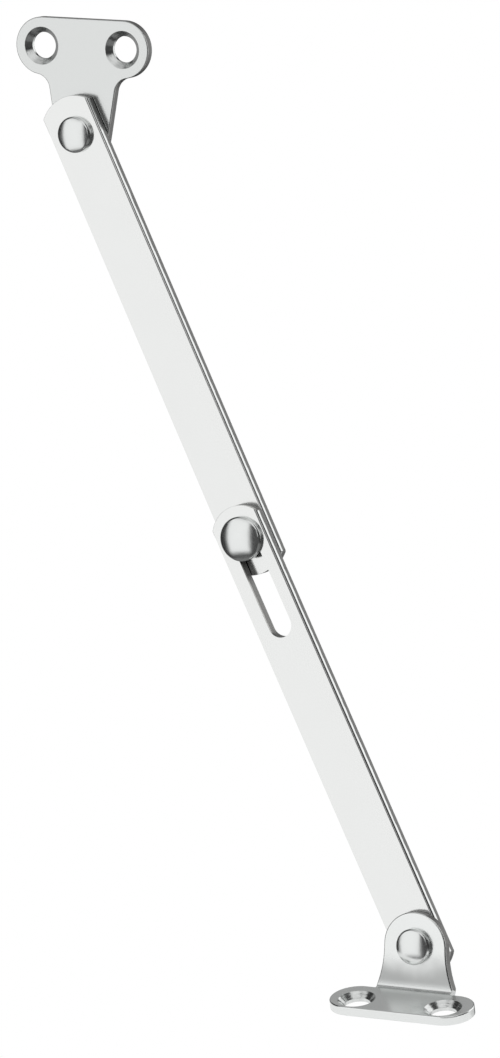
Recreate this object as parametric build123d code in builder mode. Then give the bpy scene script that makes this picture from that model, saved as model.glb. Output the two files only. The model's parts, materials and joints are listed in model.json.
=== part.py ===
"""Folding lid stay: a T-shaped mounting plate, two flat arms and an angle bracket, on three rivets.

Millimetres, +Z up. The plate stands in the XZ plane with its bar along X, and the other pieces
are layered in front of it, towards -Y. The origin is midway between the plate's two screw holes,
on its rear face, which is screwed to the side of the cabinet. The bracket is screwed to the flap.
"""

import os
from math import cos, radians, sin, tan

from build123d import *

# ---------------------------------------------------------------- sheet and strip stock
plate_thickness = 2.0         # T-shaped mounting plate
bracket_thickness = 2.0       # angle bracket
arm_thickness = 2.5           # both arms are cut from the same flat strip
arm_width = 12.0

# ---------------------------------------------------------------- clearances
layer_play = 0.25             # between one riveted layer and the next
head_play = 0.05              # between a rivet's head or tail and the layer that it holds
running_clearance = 0.05      # radial, shank in a drilled hole, and tail in its countersink
slot_clearance = 0.10         # shank to the walls and ends of the slot

# ---------------------------------------------------------------- screw holes, all countersunk alike
screw_hole_diameter = 5.8
countersink_diameter = 8.3
countersink_angle = 90.0

# ---------------------------------------------------------------- mounting plate
plate_hole_spacing = 20.0
plate_lobe_radius = 6.3       # round ends of the bar, centred on the screw holes
plate_pivot_drop = 18.7       # from the line of the screw holes down to the top pivot
stem_end_radius = 6.4
stem_taper = 9.5              # each side of the stem leans out by this many degrees
stem_throat_radius = 3.5      # hollow corner between the stem and the bar
plate_edge_round = 0.2        # rolled edge left by the blanking die, on the front only

# ---------------------------------------------------------------- arms
upper_arm_pitch = 95.6        # top pivot to middle pivot
lower_arm_pitch = 96.0        # middle pivot to bottom pivot, with the stay fully open
upper_arm_end_radius = 8.5    # flat round ends, of more than half the strip's width
lower_arm_end_radius = 7.3    # the lower arm is cut closer to its pivots
arm_corner_round = 1.0
arm_rolled_edge = 0.6         # where the shears press in: at the front on one side, at the back on the other
arm_crisp_edge = 0.15         # the other two long edges; the cropped ends are left square
slot_travel = 20.4
upper_arm_lean = 26.25        # degrees from the vertical
lower_arm_lean = 26.75

# ---------------------------------------------------------------- angle bracket
tab_end_radius = 7.4
tab_flare_radius = 25.0       # hollow sides of the tab, from the pivot down to the bend
pivot_to_flange = 9.5         # pivot down to the corner of tab face and flange face
flange_droop = 13.5           # the flange is bent this far past square, downwards at the front
bend_inner_radius = 0.9
flange_hole_spacing = 20.8
flange_length = 33.7
flange_lobe_radius = 5.65     # its round ends, so half the depth of the flange
flange_hole_setback = 4.65    # from the front edge of the flange back to the screw holes
bracket_edge_round = 0.3      # upper and front side only

# ---------------------------------------------------------------- rivets
pivot_shank_diameter = 5.0
pivot_head_diameter = 8.0
pivot_head_height = 1.9
pivot_crown_rise = 0.7        # how much of the head's height is its domed crown
flush_tail_diameter = 7.0     # rear end, peened into a countersink and flush with the face
flush_tail_angle = 90.0
slider_shank_diameter = 5.5
slider_head_diameter = 9.9
slider_head_height = 2.0
slider_crown_rise = 1.0
slider_tail_diameter = 8.4
slider_tail_height = 1.3
head_edge_round = 0.7
tail_edge_round = 0.4

# ---------------------------------------------------------------- layers, from the rear face forwards
plate_front = -plate_thickness
upper_arm_back = plate_front - layer_play
upper_arm_front = upper_arm_back - arm_thickness
lower_arm_back = upper_arm_front - layer_play
lower_arm_front = lower_arm_back - arm_thickness
tab_back = lower_arm_front - layer_play
tab_front = tab_back - bracket_thickness

# ---------------------------------------------------------------- directions and pivots
forwards = Vector(0, -1, 0)
rightwards = Vector(1, 0, 0)
upper_arm_way = Vector(sin(radians(upper_arm_lean)), 0, -cos(radians(upper_arm_lean)))
lower_arm_way = Vector(sin(radians(lower_arm_lean)), 0, -cos(radians(lower_arm_lean)))
top_pivot = Vector(0, 0, -plate_pivot_drop)
middle_pivot = top_pivot + upper_arm_way * upper_arm_pitch
bottom_pivot = middle_pivot + lower_arm_way * lower_arm_pitch

os.makedirs("parts", exist_ok=True)


def facing_forwards(pivot, depth, x_dir=rightwards):
    """Plane through a pivot at one layer's depth, facing forwards, with its x along x_dir."""
    return Plane(origin=(pivot.X, depth, pivot.Z), x_dir=x_dir, z_dir=forwards)


def facing_backwards(pivot, depth):
    """Plane through a pivot at one layer's depth, facing the surface behind the stay."""
    return Plane(origin=(pivot.X, depth, pivot.Z), x_dir=rightwards, z_dir=-forwards)


# ================================================================ mounting plate
stem_side_at_pivot = stem_end_radius / cos(radians(stem_taper))
stem_side_at_bar = stem_side_at_pivot + plate_pivot_drop * tan(radians(stem_taper))
stem_tangent_x = stem_end_radius * cos(radians(stem_taper))
stem_tangent_z = -plate_pivot_drop - stem_end_radius * sin(radians(stem_taper))

with BuildPart() as mounting_plate:
    with BuildSketch(Plane.XZ) as plate_outline:
        with GridLocations(plate_hole_spacing, 0, 2, 1):
            Circle(plate_lobe_radius)
        with Locations((0, plate_lobe_radius / 2)):
            Rectangle(plate_hole_spacing, plate_lobe_radius)
        Polygon(
            (stem_side_at_bar, 0),
            (-stem_side_at_bar, 0),
            (-stem_tangent_x, stem_tangent_z),
            (stem_tangent_x, stem_tangent_z),
            align=None,
        )
        with Locations((0, -plate_pivot_drop)):
            Circle(stem_end_radius)
        throats = [
            corner for corner in plate_outline.vertices()
            if -2 * plate_lobe_radius < corner.Y < 0 and abs(corner.X) < plate_hole_spacing / 2
        ]
        fillet(throats, stem_throat_radius)
    extrude(amount=plate_thickness)
    fillet(mounting_plate.faces().sort_by(Axis.Y)[0].edges(), plate_edge_round)
    with Locations(Plane.XZ.offset(plate_thickness)):
        with GridLocations(plate_hole_spacing, 0, 2, 1):
            CounterSinkHole(
                radius=screw_hole_diameter / 2,
                counter_sink_radius=countersink_diameter / 2,
                counter_sink_angle=countersink_angle,
            )
    with Locations(facing_backwards(top_pivot, 0)):
        CounterSinkHole(
            radius=pivot_shank_diameter / 2 + running_clearance,
            counter_sink_radius=flush_tail_diameter / 2 + running_clearance,
            counter_sink_angle=flush_tail_angle,
        )


# ================================================================ arms
def draw_strip(outline, pitch, end_radius):
    """Flat strip along the sketch's x axis, its ends cut to an arc about each pivot."""
    with Locations((pitch / 2, 0)):
        Rectangle(pitch, arm_width)
        with GridLocations(pitch, 0, 2, 1):
            Circle(end_radius)
    with Locations((pitch / 2, 0)):
        Rectangle(2 * pitch, arm_width, mode=Mode.INTERSECT)
    corners = outline.vertices().filter_by(lambda corner: corner.X < 0 or corner.X > pitch)
    fillet(corners, arm_corner_round)


def across_diagonal(corner):
    """How far a corner of the strip's section lies towards its front right or its rear left."""
    return corner.X * (corner.Y - arm_thickness / 2)


def sheared_strip(back, pivot, way, pitch):
    """Length of sheared strip, running past both of an arm's pivots."""
    start = pivot - way * arm_width
    across_strip = Plane(origin=(start.X, back, start.Z), x_dir=forwards.cross(way), z_dir=way)
    with BuildPart() as strip:
        with BuildSketch(across_strip) as section:
            with Locations((0, arm_thickness / 2)):
                Rectangle(arm_width, arm_thickness)
            fillet(section.vertices().sort_by(across_diagonal)[-2:], arm_rolled_edge)
            fillet(section.vertices().sort_by(across_diagonal)[:2], arm_crisp_edge)
        extrude(amount=pitch + 2 * arm_width)
    return strip.part


with BuildPart() as upper_arm:
    add(sheared_strip(upper_arm_back, top_pivot, upper_arm_way, upper_arm_pitch))
    with BuildSketch(facing_forwards(top_pivot, upper_arm_back, upper_arm_way)) as upper_outline:
        draw_strip(upper_outline, upper_arm_pitch, upper_arm_end_radius)
    extrude(amount=arm_thickness, mode=Mode.INTERSECT)
    with Locations(facing_forwards(top_pivot, upper_arm_front)):
        Hole(pivot_shank_diameter / 2 + running_clearance)
    with Locations(facing_forwards(middle_pivot, upper_arm_front)):
        Hole(slider_shank_diameter / 2 + running_clearance)

slot_width = slider_shank_diameter + 2 * slot_clearance

with BuildPart() as lower_arm:
    add(sheared_strip(lower_arm_back, middle_pivot, lower_arm_way, lower_arm_pitch))
    with BuildSketch(facing_forwards(middle_pivot, lower_arm_back, lower_arm_way)) as lower_outline:
        draw_strip(lower_outline, lower_arm_pitch, lower_arm_end_radius)
    extrude(amount=arm_thickness, mode=Mode.INTERSECT)
    with BuildSketch(facing_forwards(middle_pivot, lower_arm_back, lower_arm_way)):
        with Locations((slot_travel / 2, 0)):
            SlotCenterToCenter(slot_travel, slot_width)
    extrude(amount=arm_thickness, mode=Mode.SUBTRACT)
    with Locations(facing_backwards(bottom_pivot, lower_arm_back)):
        CounterSinkHole(
            radius=pivot_shank_diameter / 2 + running_clearance,
            counter_sink_radius=flush_tail_diameter / 2 + running_clearance,
            counter_sink_angle=flush_tail_angle,
        )


# ================================================================ angle bracket
# The flange is drawn on its own top face: x along the line of its holes, y forwards down its slope.
bend_corner = Vector(bottom_pivot.X, tab_front, bottom_pivot.Z - pivot_to_flange)
flange_way = Vector(0, -cos(radians(flange_droop)), -sin(radians(flange_droop)))
flange_up = Vector(0, -sin(radians(flange_droop)), cos(radians(flange_droop)))
flange_top = Plane(origin=bend_corner, x_dir=-rightwards, z_dir=flange_up)

bend_set_back = bend_inner_radius * tan(radians(90 - flange_droop) / 2)
lobe_line = bend_set_back + flange_lobe_radius
flange_hole_line = lobe_line + flange_lobe_radius - flange_hole_setback
flare_drop = pivot_to_flange - bend_set_back     # the tab's face ends here, where the bend begins
flare_centre = tab_end_radius + tab_flare_radius
bend_half_width = flare_centre - (tab_flare_radius**2 - flare_drop**2) ** 0.5

with BuildPart() as angle_bracket:
    # One bent strip, as wide as the bend, from the top of the tab to the middle of the flange.
    with BuildSketch(Plane.YZ.offset(bottom_pivot.X)):
        with BuildLine():
            FilletPolyline(
                (tab_front, bottom_pivot.Z + tab_end_radius),
                (tab_front, bend_corner.Z),
                (tab_front + flange_way.Y * lobe_line, bend_corner.Z + flange_way.Z * lobe_line),
                radius=bend_inner_radius,
            )
            offset(amount=bracket_thickness, side=Side.LEFT)
        make_face()
    extrude(amount=bend_half_width, both=True)
    # The tab's outline is cut through it: a round end, and hollow sides that flare to the bend.
    with BuildSketch(facing_forwards(bottom_pivot, tab_back)):
        Circle(tab_end_radius)
        with BuildLine():
            flare = RadiusArc((tab_end_radius, 0), (bend_half_width, -flare_drop), -tab_flare_radius)
            mirror(flare, about=Plane.YZ)
            Line(flare @ 0, (-tab_end_radius, 0))
            Line(flare @ 1, (-bend_half_width, -flare_drop))
        make_face()
        with Locations((0, -flare_drop)):
            Rectangle(2 * bend_half_width, 2 * lobe_line, align=(Align.CENTER, Align.MAX))
    extrude(amount=2 * lobe_line, both=True, mode=Mode.INTERSECT)
    with BuildSketch(flange_top):
        with Locations((0, lobe_line)):
            SlotOverall(flange_length, 2 * flange_lobe_radius)
    extrude(amount=-bracket_thickness)
    # Rolled edge round the upper side of the flange and the front of the tab, but not along the bend.
    flange_face = angle_bracket.faces().filter_by(flange_top).sort_by(Axis.Z)[-1]
    tab_face = angle_bracket.faces().filter_by(Axis.Y).sort_by(Axis.Y)[0]
    fillet(flange_face.edges().sort_by(Axis.Y)[:-1], bracket_edge_round)
    fillet(tab_face.edges().filter_by(GeomType.CIRCLE), bracket_edge_round)
    with Locations(flange_top):
        with Locations((0, flange_hole_line)):
            with GridLocations(flange_hole_spacing, 0, 2, 1):
                CounterSinkHole(
                    radius=screw_hole_diameter / 2,
                    counter_sink_radius=countersink_diameter / 2,
                    counter_sink_angle=countersink_angle,
                )
    with Locations(facing_forwards(bottom_pivot, tab_front)):
        Hole(pivot_shank_diameter / 2 + running_clearance)


# ================================================================ rivets
def turning_plane(pivot):
    """Half-section plane of a rivet: x is the radius, y is the part's own Y."""
    return Plane(origin=(pivot.X, 0, pivot.Z), x_dir=rightwards, z_dir=(0, 0, 1))


def draw_domed_head(seat, rim, crown, diameter):
    """Half-section of a head from its seat to its rim and, domed, to its crown; all three are y values."""
    with BuildLine() as outline:
        Line((0, seat), (diameter / 2, seat))
        Line((diameter / 2, seat), (diameter / 2, rim))
        TangentArc((0, crown), (diameter / 2, rim), tangent=(1, 0))
        Line((0, crown), (0, seat))
    make_face(outline.edges())


def draw_shank(front, back, diameter):
    """Half-section of a plain shank between two planes across the rivet's axis."""
    with Locations((diameter / 4, (front + back) / 2)):
        Rectangle(diameter / 2, back - front)


def draw_flush_tail(face, shank_diameter):
    """Half-section of a countersunk tail whose end is flush with the plane y = face."""
    flare = (flush_tail_diameter - shank_diameter) / 2
    cone_depth = flare / tan(radians(flush_tail_angle / 2))
    Polygon(
        (0, face),
        (flush_tail_diameter / 2, face),
        (shank_diameter / 2, face - cone_depth),
        (0, face - cone_depth),
        align=None,
    )


def rivet_axis(pivot):
    """The line that a rivet is turned about."""
    return Axis((pivot.X, 0, pivot.Z), (0, 1, 0))


def round_head_rim(section, diameter, rim):
    """Round the corner between the side of a head and its crown."""
    corner = section.vertices().sort_by_distance((diameter / 2, rim))[0]
    fillet(corner, head_edge_round)


with BuildPart() as top_rivet:
    with BuildSketch(turning_plane(top_pivot)) as top_section:
        top_seat = upper_arm_front - head_play
        top_crown = top_seat - pivot_head_height
        top_rim = top_crown + pivot_crown_rise
        draw_domed_head(top_seat, top_rim, top_crown, pivot_head_diameter)
        round_head_rim(top_section, pivot_head_diameter, top_rim)
        draw_shank(top_seat, 0, pivot_shank_diameter)
        draw_flush_tail(0, pivot_shank_diameter)
    revolve(axis=rivet_axis(top_pivot))

with BuildPart() as middle_rivet:
    with BuildSketch(turning_plane(middle_pivot)) as middle_section:
        middle_seat = lower_arm_front - head_play
        middle_crown = middle_seat - slider_head_height
        middle_rim = middle_crown + slider_crown_rise
        draw_domed_head(middle_seat, middle_rim, middle_crown, slider_head_diameter)
        round_head_rim(middle_section, slider_head_diameter, middle_rim)
        tail_seat = upper_arm_back + head_play
        draw_shank(middle_seat, tail_seat, slider_shank_diameter)
        with Locations((slider_tail_diameter / 4, tail_seat + slider_tail_height / 2)):
            Rectangle(slider_tail_diameter / 2, slider_tail_height)
        tail_rim = (slider_tail_diameter / 2, tail_seat + slider_tail_height)
        fillet(middle_section.vertices().sort_by_distance(tail_rim)[0], tail_edge_round)
    revolve(axis=rivet_axis(middle_pivot))

with BuildPart() as bottom_rivet:
    with BuildSketch(turning_plane(bottom_pivot)) as bottom_section:
        bottom_seat = tab_front - head_play
        bottom_crown = bottom_seat - pivot_head_height
        bottom_rim = bottom_crown + pivot_crown_rise
        draw_domed_head(bottom_seat, bottom_rim, bottom_crown, pivot_head_diameter)
        round_head_rim(bottom_section, pivot_head_diameter, bottom_rim)
        draw_shank(bottom_seat, lower_arm_back, pivot_shank_diameter)
        draw_flush_tail(lower_arm_back, pivot_shank_diameter)
    revolve(axis=rivet_axis(bottom_pivot))


# ================================================================ labels and files
mounting_plate.part.label = "mounting_plate"
upper_arm.part.label = "upper_arm"
lower_arm.part.label = "lower_arm"
angle_bracket.part.label = "angle_bracket"
top_rivet.part.label = "top_rivet"
middle_rivet.part.label = "middle_rivet"
bottom_rivet.part.label = "bottom_rivet"

export_step(mounting_plate.part, "parts/mounting_plate.step")
export_step(upper_arm.part, "parts/upper_arm.step")
export_step(lower_arm.part, "parts/lower_arm.step")
export_step(angle_bracket.part, "parts/angle_bracket.step")
export_step(top_rivet.part, "parts/top_rivet.step")
export_step(middle_rivet.part, "parts/middle_rivet.step")
export_step(bottom_rivet.part, "parts/bottom_rivet.step")
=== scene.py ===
import json
from math import cos, radians, sin

import bpy
import numpy as np
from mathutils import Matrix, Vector


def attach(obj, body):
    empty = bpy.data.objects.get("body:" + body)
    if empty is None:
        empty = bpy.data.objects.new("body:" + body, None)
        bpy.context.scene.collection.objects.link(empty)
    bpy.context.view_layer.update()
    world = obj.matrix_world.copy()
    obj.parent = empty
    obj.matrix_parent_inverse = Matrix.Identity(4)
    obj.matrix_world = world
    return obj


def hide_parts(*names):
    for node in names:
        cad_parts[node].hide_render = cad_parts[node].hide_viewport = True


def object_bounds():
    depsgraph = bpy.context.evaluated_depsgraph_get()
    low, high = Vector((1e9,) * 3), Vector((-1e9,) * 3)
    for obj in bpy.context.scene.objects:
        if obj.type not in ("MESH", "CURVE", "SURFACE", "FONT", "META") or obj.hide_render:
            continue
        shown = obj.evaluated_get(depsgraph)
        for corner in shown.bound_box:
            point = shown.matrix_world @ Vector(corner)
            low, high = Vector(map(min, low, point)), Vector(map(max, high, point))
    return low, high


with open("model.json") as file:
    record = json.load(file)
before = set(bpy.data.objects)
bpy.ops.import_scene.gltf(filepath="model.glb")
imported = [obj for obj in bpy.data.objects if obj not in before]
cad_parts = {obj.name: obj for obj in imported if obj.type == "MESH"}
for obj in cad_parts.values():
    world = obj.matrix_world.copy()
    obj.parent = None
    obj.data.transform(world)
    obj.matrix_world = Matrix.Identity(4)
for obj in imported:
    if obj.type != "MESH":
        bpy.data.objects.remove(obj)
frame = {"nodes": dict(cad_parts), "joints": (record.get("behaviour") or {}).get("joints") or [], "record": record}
cad_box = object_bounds()

MM = 0.001

# ------------------------------------------------------------------ sizes, read from the frame
joints = {joint["name"]: joint for joint in frame["joints"]}
mounts = {mount["name"]: mount for mount in frame["record"]["mounts"]}
TOP_PIVOT = np.array(joints["top_pivot"]["pos_m"])
MIDDLE_PIVOT = np.array(joints["middle_pivot"]["pos_m"])
BOTTOM_PIVOT = np.array(joints["bottom_pivot"]["pos_m"])
SLIDE_WAY = -np.array(joints["slot_slide"]["axis"])          # from the slot's upper end to its lower end
SLOT_TRAVEL = joints["slot_slide"]["range_m"][1]
UPPER_WAY = (MIDDLE_PIVOT - TOP_PIVOT) * [1, 0, 1]           # along the upper arm
UPPER_PITCH = np.linalg.norm(UPPER_WAY)
UPPER_WAY /= UPPER_PITCH
LOWER_PITCH = (BOTTOM_PIVOT - MIDDLE_PIVOT) @ SLIDE_WAY
COUNTERSINK_RADIUS = 4.15 * MM
BEND_TOP = BOTTOM_PIVOT[2] - 8.8 * MM                        # where the bracket's bend runs out into its tab
STRAIN_AND_PAINTED_SHADE_REACH = 7.8 * MM                                      # how far up the tab the bend has stretched it, and painted shade darkens it
SLOT_REACH = 3.2 * MM                                        # from the slot's middle line past its walls
SLOT_END_REACH = 4 * MM                                      # from the pivot's two end positions past the slot
CRISP_EDGE = 0.15 * MM                                       # round of the arms' crisp long edges
EDGE_WEAR = 0.12 * MM                                        # round that tumbling leaves on a cut edge
TORN_STEEL = "8c8c8b"                                        # the torn, matt part of every cut edge


# ------------------------------------------------------------------ node helpers
def linear(hex_colour):
    """sRGB hex such as "d9dad8" to a linear RGBA colour."""
    parts = [int(hex_colour[i:i + 2], 16) / 255 for i in (0, 2, 4)]
    return [c / 12.92 if c <= 0.04045 else ((c + 0.055) / 1.055) ** 2.4 for c in parts] + [1.0]


def add(tree, kind, settings=None, **inputs):
    """Add a node, set its properties, and set or link its inputs (underscores stand for spaces)."""
    node = tree.nodes.new(kind)
    for name, value in (settings or {}).items():
        setattr(node, name, value)
    for name, value in inputs.items():
        socket = node.inputs[int(name[1:]) if name[1:].isdigit() else name.replace("_", " ")]
        if isinstance(value, bpy.types.NodeSocket):
            tree.links.new(value, socket)
        else:
            socket.default_value = value
    return node


def new_material(name):
    """An empty material with its output node, ready for a surface."""
    material = bpy.data.materials.new(name)
    material.use_nodes = True
    material.node_tree.nodes.clear()
    return material, material.node_tree, material.node_tree.nodes.new("ShaderNodeOutputMaterial")


def maths(tree, operation, first, second=0.0):
    """One sum of two values."""
    return add(tree, "ShaderNodeMath", {"operation": operation}, _0=first, _1=second).outputs["Value"]


def vector_maths(tree, operation, first, second=(0, 0, 0)):
    """One sum of two vectors: a number for a dot product or a length, otherwise a vector."""
    output = "Value" if operation in ("DOT_PRODUCT", "LENGTH") else "Vector"
    return add(tree, "ShaderNodeVectorMath", {"operation": operation}, _0=first, _1=second).outputs[output]


def mixed(tree, amount, first, second):
    """A colour or direction between two others."""
    return add(tree, "ShaderNodeMix", {"data_type": "VECTOR"}, _0=amount, _4=first, _5=second).outputs[1]


# ------------------------------------------------------------------ materials
def noise(tree, place, size, detail=2.0, stretch=None):
    """Noise whose largest lumps are about the given size in metres, drawn out by a stretch along x, y, z."""
    if stretch:
        place = vector_maths(tree, "MULTIPLY", place, stretch)
    return add(tree, "ShaderNodeTexNoise", Vector=place, Scale=1 / size, Detail=detail).outputs["Fac"]


def ramp(tree, value, low, high, to_low, to_high, smooth=False):
    """A value between low and high, brought to the range from to_low to to_high."""
    kind = {"interpolation_type": "SMOOTHSTEP"} if smooth else {}
    return add(tree, "ShaderNodeMapRange", kind, Value=value, From_Min=low, From_Max=high, To_Min=to_low,
               To_Max=to_high).outputs["Result"]


def shaded(tree, colour, amount):
    """A colour times a factor from the node tree."""
    return add(tree, "ShaderNodeVectorMath", {"operation": "SCALE"}, _0=linear(colour)[:3],
               Scale=amount).outputs["Vector"]


def metal(tree, output, colour, roughness, normal):
    """Bare plated metal, from its colour, roughness and normal."""
    shader = add(tree, "ShaderNodeBsdfPrincipled", Base_Color=colour, Roughness=roughness, Normal=normal,
                 Metallic=1.0)
    tree.links.new(shader.outputs["BSDF"], output.inputs["Surface"])


def bumped(tree, height, depth, strength=1.0, tumbled=None):
    """Normal of a surface that a height from 0 to 1 lifts by a depth in metres, its sharp edges worn round,
    all over or by the amount tumbled."""
    worn = add(tree, "ShaderNodeBevel", {"samples": 6}, Radius=EDGE_WEAR).outputs["Normal"]
    if tumbled:
        worn = mixed(tree, tumbled, add(tree, "ShaderNodeNewGeometry").outputs["Normal"], worn)
    bump = add(tree, "ShaderNodeBump", Height=height, Distance=depth, Strength=strength, Normal=worn)
    return bump.outputs["Normal"]


def from_end(tree, place, pivot, way, pitch):
    """How far in metres a place on a strip lies past the nearer of its two pivots, towards the strip's end."""
    away = vector_maths(tree, "SUBTRACT", place, pivot.tolist())
    along = vector_maths(tree, "DOT_PRODUCT", away, way.tolist())
    from_middle = maths(tree, "ABSOLUTE", maths(tree, "SUBTRACT", along, pitch / 2))
    return maths(tree, "SUBTRACT", from_middle, pitch / 2)


def satin_nickel_plate(name, colour, roughness, grain_depth=1.2e-6, strip=None):
    """Dull nickel plate over barrel-tumbled mild steel: a soft, slightly clouded mirror. A strip, given by its
    pivot, way and pitch, is worn round at its cropped ends only, and its sheared long edges stay crisp."""
    material, tree, output = new_material(name)
    place = add(tree, "ShaderNodeTexCoord").outputs["Object"]
    clouds = noise(tree, place, 9 * MM, 3.0)
    tone = shaded(tree, colour, ramp(tree, clouds, 0.3, 0.7, 0.985, 1.0))
    gloss = ramp(tree, clouds, 0.3, 0.7, roughness - 0.02, roughness + 0.02)
    tumbled = ramp(tree, from_end(tree, place, *strip), 2 * MM, 4 * MM, 0.0, 1.0) if strip else None
    metal(tree, output, tone, gloss, bumped(tree, noise(tree, place, 0.35 * MM), grain_depth, tumbled=tumbled))
    return material


def bent_nickel_plate(name, colour, roughness, bend_top, reach):
    """Satin nickel plate whose face above a bend was stretched, over a reach in metres up from the height
    bend_top, and is duller there; over the same reach its colour is darkened as painted shade."""
    material, tree, output = new_material(name)
    place = add(tree, "ShaderNodeTexCoord").outputs["Object"]
    clouds = noise(tree, place, 9 * MM, 3.0)
    above = maths(tree, "SUBTRACT", add(tree, "ShaderNodeSeparateXYZ", Vector=place).outputs["Z"], bend_top)
    uneven = ramp(tree, noise(tree, place, 8 * MM, 2.0), 0.3, 0.7, -0.18 * reach, 0.18 * reach)
    faded = ramp(tree, maths(tree, "ADD", above, uneven), 0.2 * reach, reach, 1.0, 0.0, smooth=True)
    begun = ramp(tree, above, -0.9 * MM, 1.3 * MM, 0.0, 1.0, smooth=True)
    strain_and_painted_shade = maths(tree, "MULTIPLY", faded, begun)
    # painted shade: near the bend the tab's colour darkens to 0.57 of itself, standing in for darker reflections
    # there; the added roughness is real
    tone = shaded(tree, colour, ramp(tree, strain_and_painted_shade, 0, 1, 1.0, 0.57))
    gloss = maths(tree, "ADD", ramp(tree, clouds, 0.3, 0.7, roughness - 0.02, roughness + 0.02),
                  ramp(tree, strain_and_painted_shade, 0, 1, 0, 0.06))
    metal(tree, output, tone, gloss, bumped(tree, noise(tree, place, 0.35 * MM), 1.2e-6))
    return material


def sheared_nickel_edge(name, front, burnish, bright, dark):
    """Cut edge of sheet or strip: a smooth burnished band behind the rolled edge, down to a ragged line
    at the depth of burnish, and behind it the torn, matt part of the cut."""
    material, tree, output = new_material(name)
    place = add(tree, "ShaderNodeTexCoord").outputs["Object"]
    depth = add(tree, "ShaderNodeSeparateXYZ", Vector=place).outputs["Y"]
    ragged = ramp(tree, noise(tree, place, 2.2 * MM, 4.0), 0.3, 0.7, -0.12 * MM, 0.12 * MM)
    behind = maths(tree, "ADD", maths(tree, "SUBTRACT", depth, front + burnish), ragged)
    torn = ramp(tree, behind, -0.06 * MM, 0.1 * MM, 0.0, 1.0, smooth=True)
    grain = noise(tree, place, 0.16 * MM, 3.0, (1, 0.4, 1))
    tone = mixed(tree, torn, linear(bright)[:3], shaded(tree, dark, ramp(tree, grain, 0.3, 0.7, 0.8, 1.1)))
    metal(tree, output, tone, ramp(tree, torn, 0, 1, 0.24, 0.5), bumped(tree, grain, 8e-6, torn))
    return material


def hole_spacing(mount):
    """Distance in metres between the two screw holes of a mount."""
    return (mount["dims"].get("spacing_x_mm") or mount["dims"]["pcd_mm"]) * MM


def from_hole(tree, place, mount):
    """Where a place is about the nearer of a pair of screw holes: its radius and its angle."""
    away = vector_maths(tree, "SUBTRACT", place, mount["pos_m"])
    aside = add(tree, "ShaderNodeSeparateXYZ", Vector=away).outputs["X"]
    beside = maths(tree, "SUBTRACT", maths(tree, "ABSOLUTE", aside), hole_spacing(mount) / 2)
    above = vector_maths(tree, "DOT_PRODUCT", away, np.cross(mount["axis"], [1, 0, 0]).tolist())
    squares = maths(tree, "ADD", maths(tree, "MULTIPLY", beside, beside), maths(tree, "MULTIPLY", above, above))
    return maths(tree, "SQRT", squares), maths(tree, "ARCTAN2", above, beside)


def countersunk_nickel(name, colour, roughness, mount):
    """Nickel plate over a countersink cut with a chattering bit: rings that are broken up around the hole."""
    material, tree, output = new_material(name)
    place = add(tree, "ShaderNodeTexCoord").outputs["Object"]
    radius, angle = from_hole(tree, place, mount)
    rings = add(tree, "ShaderNodeCombineXYZ", X=maths(tree, "DIVIDE", radius, 0.35 * MM),
                Y=maths(tree, "MULTIPLY", angle, 2.2)).outputs["Vector"]
    marks = add(tree, "ShaderNodeTexNoise", Vector=rings, Scale=1.0, Detail=3.0, Roughness=0.6).outputs["Fac"]
    tone = shaded(tree, colour, ramp(tree, marks, 0.3, 0.7, 0.85, 1.0))
    metal(tree, output, tone, roughness, bumped(tree, marks, 40e-6))
    return material


def headed_nickel(name, colour, roughness, pivot):
    """Nickel plate over a rivet head: a fine ripple from the header and faint rings from the riveting tool."""
    material, tree, output = new_material(name)
    place = add(tree, "ShaderNodeTexCoord").outputs["Object"]
    away = vector_maths(tree, "SUBTRACT", place, pivot.tolist())
    radius = vector_maths(tree, "LENGTH", vector_maths(tree, "MULTIPLY", away, (1, 0, 1)))
    rings = noise(tree, add(tree, "ShaderNodeCombineXYZ", X=radius).outputs["Vector"], 0.3 * MM, 2.0)
    ripple = noise(tree, place, 1.6 * MM, 2.0)
    height = maths(tree, "ADD", maths(tree, "MULTIPLY", rings, 0.25), ripple)
    clouds = noise(tree, place, 3 * MM, 3.0)
    tone = shaded(tree, colour, ramp(tree, clouds, 0.3, 0.7, 0.97, 1.0))
    gloss = ramp(tree, clouds, 0.3, 0.7, roughness - 0.02, roughness + 0.03)
    metal(tree, output, tone, gloss, bumped(tree, height, 12e-6))
    return material


# ------------------------------------------------------------------ pieces
def finish_piece(piece, body, slot_name, *nodes):
    """Put a finished piece on its body in place of its CAD nodes."""
    bpy.context.scene.collection.objects.link(piece)
    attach(piece, body)
    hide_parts(*nodes)
    return piece


def crisp_corner(points, pivot, way):
    """Points of a strip with the small round of its front left edge brought out to the corner that it was
    cut from: each point of the round goes to the strip's left side and its front face."""
    side = np.cross(way, [0, 1, 0])
    across = (points - pivot) @ side
    reach = 0.99 * CRISP_EDGE
    in_round = (across < across.min() + reach) & (points[:, 1] < points[:, 1].min() + reach)
    moved = points + np.outer(across.min() - across, side)
    moved[:, 1] = points[:, 1].min()
    return np.where(in_round[:, None], moved, points)


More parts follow.
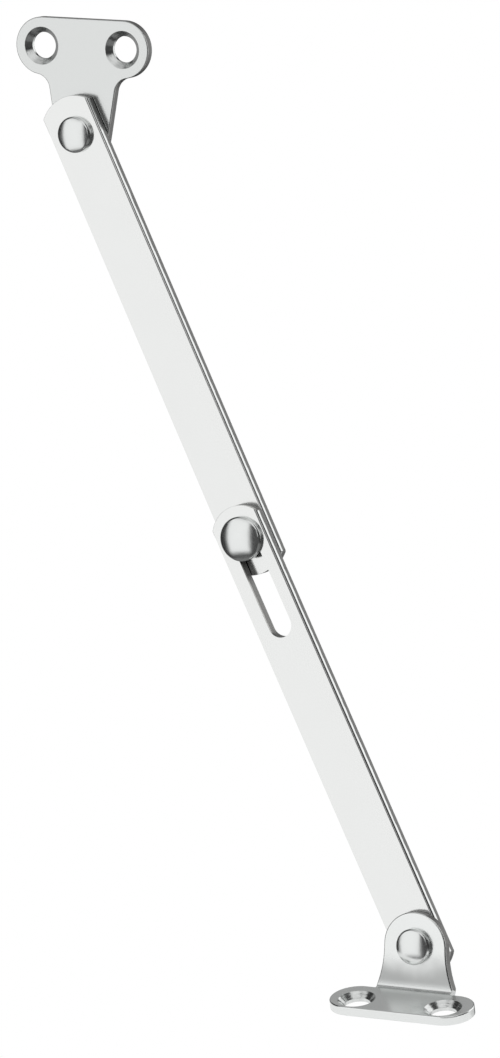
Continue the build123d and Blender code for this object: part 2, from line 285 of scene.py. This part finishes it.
def welded_copy(node, name, strip=None):
    """The CAD node's own triangles joined at their shared corners, so that bends and edges shade smoothly.
    A strip is given by its pivot and way, and gets its crisp corner."""
    source = frame["nodes"][node].data
    source.calc_loop_triangles()
    points = np.empty(3 * len(source.vertices), np.float32)
    source.vertices.foreach_get("co", points)
    corners = np.empty(3 * len(source.loop_triangles), np.int32)
    source.loop_triangles.foreach_get("vertices", corners)
    points = points.reshape(-1, 3)
    if strip:
        points = np.round(crisp_corner(points, *strip), 7)
    points, place = np.unique(points, axis=0, return_inverse=True)
    triangles = place.reshape(-1)[corners].reshape(-1, 3)
    triangles = triangles[(triangles != np.roll(triangles, 1, axis=1)).all(axis=1)]
    mesh = bpy.data.meshes.new(name)
    mesh.from_pydata(points.tolist(), [], triangles.tolist())
    mesh.shade_smooth()
    mesh.set_sharp_from_angle(angle=radians(32))
    piece = bpy.data.objects.new(name, mesh)
    evening = piece.modifiers.new("even_normals", "WEIGHTED_NORMAL")
    evening.keep_sharp = True
    return piece


def face_places(piece):
    """Centre and outward normal of every face."""
    mesh = piece.data
    centres = np.empty(3 * len(mesh.polygons))
    normals = np.empty(3 * len(mesh.polygons))
    mesh.polygons.foreach_get("center", centres)
    mesh.polygons.foreach_get("normal", normals)
    return centres.reshape(-1, 3), normals.reshape(-1, 3)


def paint(piece, *finishes):
    """Give a piece its first material all over, and each (material, faces) pair after it to those faces."""
    index = np.zeros(len(piece.data.polygons), np.int32)
    piece.data.materials.append(finishes[0])
    for number, (material, faces) in enumerate(finishes[1:], start=1):
        piece.data.materials.append(material)
        index[faces] = number
    piece.data.polygons.foreach_set("material_index", index)


def screw_hole_faces(piece, mount):
    """Faces of the countersinks and holes of a pair of screw holes, as a mask."""
    centres, normals = face_places(piece)
    axis = np.array(mount["axis"])
    inside = np.zeros(len(centres), bool)
    for side in (-0.5, 0.5):
        centre = np.array(mount["pos_m"]) + np.array([side * hole_spacing(mount), 0, 0])
        away = centres - centre
        across = away - np.outer(away @ axis, axis)
        inside |= np.linalg.norm(across, axis=1) < COUNTERSINK_RADIUS
    return inside & (np.abs(normals @ axis) < 0.95)


def end_faces(piece, way):
    """Faces of a strip's two cropped ends, as a mask."""
    normals = face_places(piece)[1]
    return (np.abs(normals @ way) > 0.35) & (np.abs(normals[:, 1]) < 0.2)


def cut_faces(piece):
    """Faces square to the sheet, cut by the shears or the blanking die, as a mask."""
    return np.abs(face_places(piece)[1][:, 1]) < 0.2


def front_of(piece):
    """The y of a piece's front face."""
    return min(vertex.co.y for vertex in piece.data.vertices)


def front_of_tab(piece):
    """The y of the front face of the bracket's tab."""
    return min(vertex.co.y for vertex in piece.data.vertices if vertex.co.z > BOTTOM_PIVOT[2])


def slot_faces(piece):
    """Faces of the wall of the lower arm's slot, as a mask."""
    centres, normals = face_places(piece)
    along = (centres - MIDDLE_PIVOT) @ SLIDE_WAY
    across = np.abs((centres - MIDDLE_PIVOT) @ np.cross(SLIDE_WAY, [0, 1, 0]))
    in_slot = (across < SLOT_REACH) & (along > -SLOT_END_REACH) & (along < SLOT_TRAVEL + SLOT_END_REACH)
    return in_slot & (np.abs(normals[:, 1]) < 0.5)


def plated_plate():
    """The mounting plate: satin faces, a blanked edge and two countersinks."""
    plate = welded_copy("mounting_plate", "plated_mounting_plate")
    holes = mounts["plate_screws"]
    faces = satin_nickel_plate("satin_nickel_on_steel_sheet", "dee0df", 0.2)
    edge = sheared_nickel_edge("nickel_on_blanked_edge_of_plate", front_of(plate), 0.4 * MM, "949493",
                               TORN_STEEL)
    countersink = countersunk_nickel("nickel_in_countersinks_of_plate", "e4e6e5", 0.18, holes)
    paint(plate, faces, (edge, cut_faces(plate)), (countersink, screw_hole_faces(plate, holes)))
    finish_piece(plate, "mounting_plate", "plated_sheet", "mounting_plate")


def plated_arm(name, pivot, way, pitch, slotted=False):
    """An arm: satin faces, two sheared long edges, two cropped ends and, if slotted, a punched slot wall."""
    arm = welded_copy(name, "plated_" + name, (pivot, way))
    front = front_of(arm)
    faces = satin_nickel_plate("satin_nickel_on_" + name, "ecedec", 0.15, 0.6e-6, (pivot, way, pitch))
    edge = sheared_nickel_edge("nickel_on_sheared_edge_of_" + name, front, 1.1 * MM, "edefee", TORN_STEEL)
    end = sheared_nickel_edge("nickel_on_cropped_ends_of_" + name, front, 0.8 * MM, "bcbcba", TORN_STEEL)
    finishes = [(edge, cut_faces(arm)), (end, end_faces(arm, way))]
    if slotted:
        wall = sheared_nickel_edge("nickel_on_punched_wall_of_slot", front, 0.5 * MM, "b4b4b2", "9a9a98")
        finishes.append((wall, slot_faces(arm)))
    paint(arm, faces, *finishes)
    finish_piece(arm, name, "plated_strip", name)


def plated_bracket():
    """The angle bracket: satin faces strained above the bend and darkened there by painted shade, the tab's
    blanked edge and two countersinks.
    """
    bracket = welded_copy("angle_bracket", "plated_angle_bracket")
    holes = mounts["bracket_screws"]
    on_tab = face_places(bracket)[0][:, 2] > BEND_TOP - 0.5 * MM
    faces = bent_nickel_plate("satin_nickel_on_bent_sheet", "eff1f0", 0.25, BEND_TOP, STRAIN_AND_PAINTED_SHADE_REACH)
    edge = sheared_nickel_edge("nickel_on_blanked_edge_of_tab", front_of_tab(bracket), 0.4 * MM, "949493",
                               TORN_STEEL)
    countersink = countersunk_nickel("nickel_in_countersinks_of_bracket", "e8eae9", 0.2, holes)
    paint(bracket, faces, (edge, cut_faces(bracket) & on_tab), (countersink, screw_hole_faces(bracket, holes)))
    finish_piece(bracket, "angle_bracket", "plated_sheet", "angle_bracket")


def plated_rivet(node, body, pivot):
    """A rivet, headed cold about its pivot, on the body that it turns with."""
    rivet = welded_copy(node, "plated_" + node)
    paint(rivet, headed_nickel("semi_bright_nickel_on_" + node, "e9ebea", 0.17, pivot))
    finish_piece(rivet, body, "plated_rivet", node)


plated_plate()
plated_arm("upper_arm", TOP_PIVOT, UPPER_WAY, UPPER_PITCH)
plated_arm("lower_arm", MIDDLE_PIVOT, SLIDE_WAY, LOWER_PITCH, slotted=True)
plated_bracket()
plated_rivet("top_rivet", "mounting_plate", TOP_PIVOT)
plated_rivet("middle_rivet", "middle_rivet", MIDDLE_PIVOT)
plated_rivet("bottom_rivet", "angle_bracket", BOTTOM_PIVOT)

# ------------------------------------------------------------------ camera
CAMERA_AZIMUTH = radians(27.51)
CAMERA_ELEVATION = radians(8.85)
CAMERA_DISTANCE = 2.0095
CAMERA_TARGET = Vector((0.041357, -0.002, -0.103146))

camera_data = bpy.data.cameras.new("camera")
camera_data.sensor_width = 36.0
camera_data.lens = 314.27
camera_data.clip_end = 50.0
camera = bpy.data.objects.new("camera", camera_data)
bpy.context.scene.collection.objects.link(camera)
back = Vector((sin(CAMERA_AZIMUTH) * cos(CAMERA_ELEVATION),
               -cos(CAMERA_AZIMUTH) * cos(CAMERA_ELEVATION),
               sin(CAMERA_ELEVATION)))
camera.location = CAMERA_TARGET + back * CAMERA_DISTANCE
camera.rotation_euler = (-back).to_track_quat("-Z", "Y").to_euler()
bpy.context.scene.camera = camera


# ------------------------------------------------------------------ studio
FLOOR_DROP = 1.3
FLOOR_SIDE = 12.0
TENT_RADIUS = 1.2
CARD_WIDTH, CARD_DEPTH = 80 * MM, 34 * MM       # the white card under the bracket
CARD_DROP = 3 * MM                              # below the bracket
CARD_BACK = 5 * MM                              # its middle, behind the stay's foremost point
CARD_LEVEL = 0.9

# Lights of the studio tent: (azimuth, half width, elevation, half height, brightness), in degrees seen
# from the stay. Azimuth 0 is straight in front and 90 is to the right.
TENT_LIGHTS = (
    (-28, 25, -1, 31, 1.00),        # large softbox, front left
    (-28, 25, 30, 18, 0.78),        # its upper half, farther off
    (29, 7, 13, 8, 0.80),           # bounced light on the right
    (36, 34, -12, 24, 0.07),        # dim wall of the room, low on the right
    (62, 36, -33, 16, 0.20),        # bench on the right
    (26, 36, 51, 24, 0.85),         # smaller softbox, high on the right
    (143, 25, 22, 36, 1.10),        # softbox behind, on the right
    (150, 25, -34, 28, 0.60),       # bounced light low behind, on the right
    (-126, 27, -10, 36, 0.30),      # softbox on the left
    (-147, 25, 42, 22, 0.38),       # bounced light high behind, on the left
    (-28, 70, -64, 22, 0.20),       # the table below the front, out of the light
    (0, 180, 80, 22, 0.60),         # bounced light overhead
)
TENT_CLOTH = 0.035                  # brightness of the dark cloth between them
TENT_EDGE = 9.0                     # degrees over which a light fades out at its edge


def studio_tent(centre):
    """Sphere of dark cloth with soft lights let into it, on a grid of azimuth by elevation. A light's
    brightness is a smooth step in azimuth times one in elevation, and the brightest light wins."""
    azimuth, elevation = np.meshgrid(np.linspace(-180, 180, 241), np.linspace(-90, 90, 121))

    def window(angle, half_width):
        step = np.clip((half_width - np.abs(angle)) / TENT_EDGE + 0.5, 0, 1)
        return step * step * (3 - 2 * step)

    brightness = np.full(azimuth.shape, TENT_CLOTH)
    for light_azimuth, half_width, light_elevation, half_height, level in TENT_LIGHTS:
        turn = (azimuth - light_azimuth + 180) % 360 - 180
        lit = window(turn, half_width) * window(elevation - light_elevation, half_height)
        brightness = np.maximum(brightness, TENT_CLOTH + (level - TENT_CLOTH) * lit)
    a, e = np.radians(azimuth), np.radians(elevation)
    points = np.stack([np.sin(a) * np.cos(e), -np.cos(a) * np.cos(e), np.sin(e)], axis=-1) * TENT_RADIUS
    rows, columns = azimuth.shape
    corner = (np.arange(rows - 1)[:, None] * columns + np.arange(columns - 1)).ravel()
    quads = np.stack([corner, corner + 1, corner + columns + 1, corner + columns], axis=1)
    mesh = bpy.data.meshes.new("studio_tent")
    mesh.from_pydata((points.reshape(-1, 3) + centre).tolist(), [], quads.tolist())
    level = mesh.attributes.new("brightness", "FLOAT", "POINT")
    level.data.foreach_set("value", brightness.ravel())
    material, tree, output = new_material("tent_cloth")
    cloth = add(tree, "ShaderNodeAttribute", {"attribute_name": "brightness"})
    glow = add(tree, "ShaderNodeEmission", Color=(1, 1, 1, 1), Strength=cloth.outputs["Fac"])
    tree.links.new(glow.outputs["Emission"], output.inputs["Surface"])
    mesh.materials.append(material)
    tent = bpy.data.objects.new("studio_tent", mesh)
    tent.visible_camera = False
    bpy.context.scene.collection.objects.link(tent)


def white_to_the_eye(tree, matt, level):
    """Mix a surface with plain white of a given level, which the camera, reflections and clear materials
    see."""
    rays = add(tree, "ShaderNodeLightPath").outputs
    seen = maths(tree, "MAXIMUM", rays["Is Camera Ray"], rays["Is Glossy Ray"])
    seen = maths(tree, "MAXIMUM", seen, rays["Is Transmission Ray"])
    white = add(tree, "ShaderNodeEmission", Color=(1, 1, 1, 1), Strength=level)
    return add(tree, "ShaderNodeMixShader", _0=seen, _1=matt, _2=white.outputs["Emission"])


def studio_floor(centre, width, depth, name="floor", level=1.0):
    """Plain white floor or card, level under the stay: a rectangle about its centre."""
    corners = np.array([(-1, -1, 0), (1, -1, 0), (1, 1, 0), (-1, 1, 0)])
    points = (centre + corners * [width / 2, depth / 2, 0]).tolist()
    mesh = bpy.data.meshes.new(name)
    mesh.from_pydata(points, [], [(0, 1, 2, 3)])
    material, tree, output = new_material("matt_white_floor_paint")
    matt = add(tree, "ShaderNodeBsdfDiffuse", Color=(0.9, 0.9, 0.9, 1))
    seen = white_to_the_eye(tree, matt.outputs["BSDF"], level)
    tree.links.new(seen.outputs["Shader"], output.inputs["Surface"])
    mesh.materials.append(material)
    floor = bpy.data.objects.new(name, mesh)
    bpy.context.scene.collection.objects.link(floor)
    return floor


centre = np.array((cad_box[0] + cad_box[1]) / 2)
studio_tent(centre)
studio_floor(centre - [0, 0, FLOOR_DROP], FLOOR_SIDE, FLOOR_SIDE)
under_bracket = np.array([BOTTOM_PIVOT[0], cad_box[0][1] + CARD_BACK, cad_box[0][2] - CARD_DROP])
card = studio_floor(under_bracket, CARD_WIDTH, CARD_DEPTH, "white_card", CARD_LEVEL)
card.visible_camera = False

world = bpy.data.worlds.new("white_studio")
bpy.context.scene.world = world
world.use_nodes = True
background = world.node_tree.nodes["Background"].inputs
background["Color"].default_value = (1, 1, 1, 1)
background["Strength"].default_value = 1.0
bpy.context.scene.view_settings.view_transform = "Standard"
